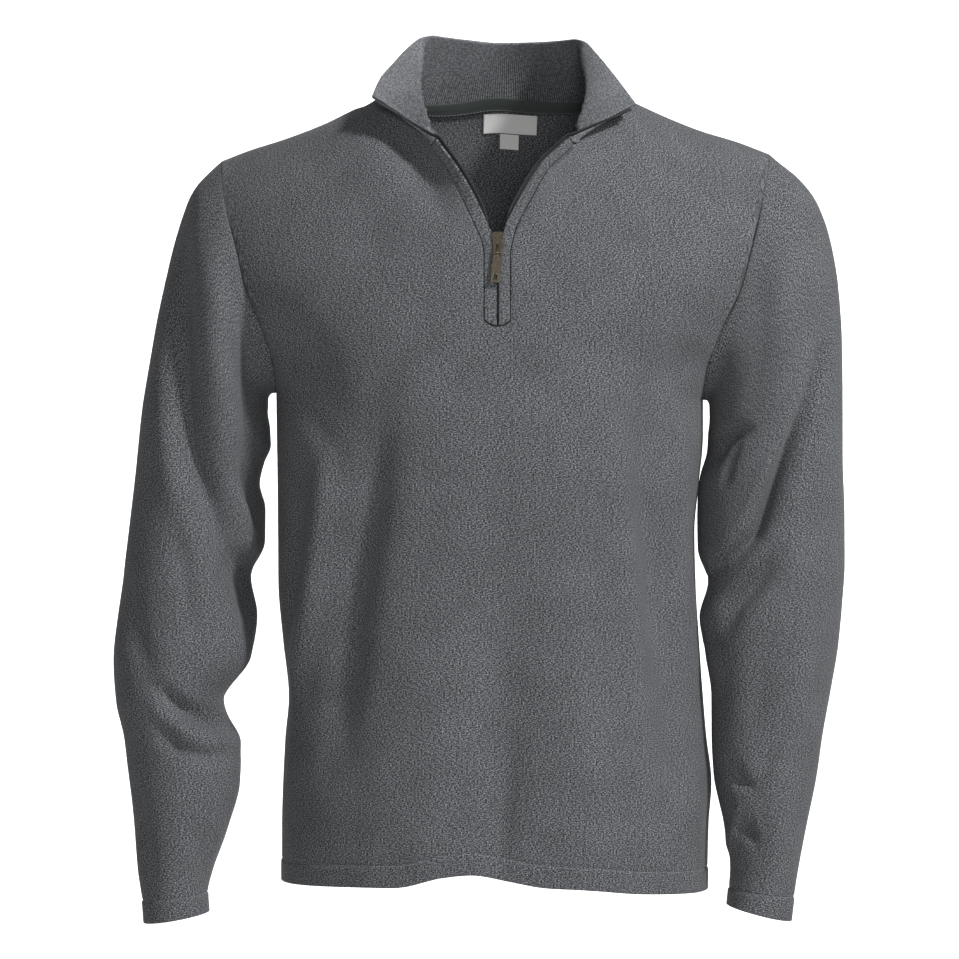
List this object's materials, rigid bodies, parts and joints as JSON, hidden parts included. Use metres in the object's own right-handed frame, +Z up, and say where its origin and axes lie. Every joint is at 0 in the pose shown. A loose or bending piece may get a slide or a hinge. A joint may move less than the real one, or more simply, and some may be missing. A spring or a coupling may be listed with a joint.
{
  "type": "quarter zip sweatshirt",
  "caption": "Fine knit quarter zip pullover with set-in long sleeves and an open stand collar, filled out as worn with nobody in it.",
  "frame": {"origin": "on the line of the two high shoulder points beside the neck, where the wearer's shoulders carry the garment", "axes": "+Z up, +X to the right of someone who looks at the front, and the front faces -Y"},
  "size_m": [0.6404, 0.2416, 0.7786],
  "materials": {
    "knit": "heather charcoal fine jersey knit, matt",
    "collar_knit": "heather charcoal knit in two layers, ribbed inside",
    "neck_tape": "dark twill tape",
    "label": "white satin, bare",
    "zip_tape": "dark woven tape",
    "zip_coil": "dark nylon coil",
    "zip_metal": "dark antiqued plating on a casting"
  },
  "bodies": {
    "garment": {"front": "knit", "back": "knit", "sleeve_left": "knit", "sleeve_right": "knit", "collar": "collar_knit", "placket_left": "knit", "placket_right": "knit", "zip_tape_left": "zip_tape", "zip_tape_right": "zip_tape", "zip_chain": "zip_coil", "zip_slider": "zip_metal", "neck_tape": "neck_tape", "label_main": "label", "label_tab": "label"},
    "zip_pull": {"zip_pull": "zip_metal"}
  },
  "joints": [
    {"name": "pull_swing", "type": "hinge", "parent": "garment", "child": "zip_pull", "pos_m": [0.00005, -0.12333, -0.14364], "axis": [-0.9969, 0.0062, 0.0787], "range_deg": [0, 165]}
  ]
}
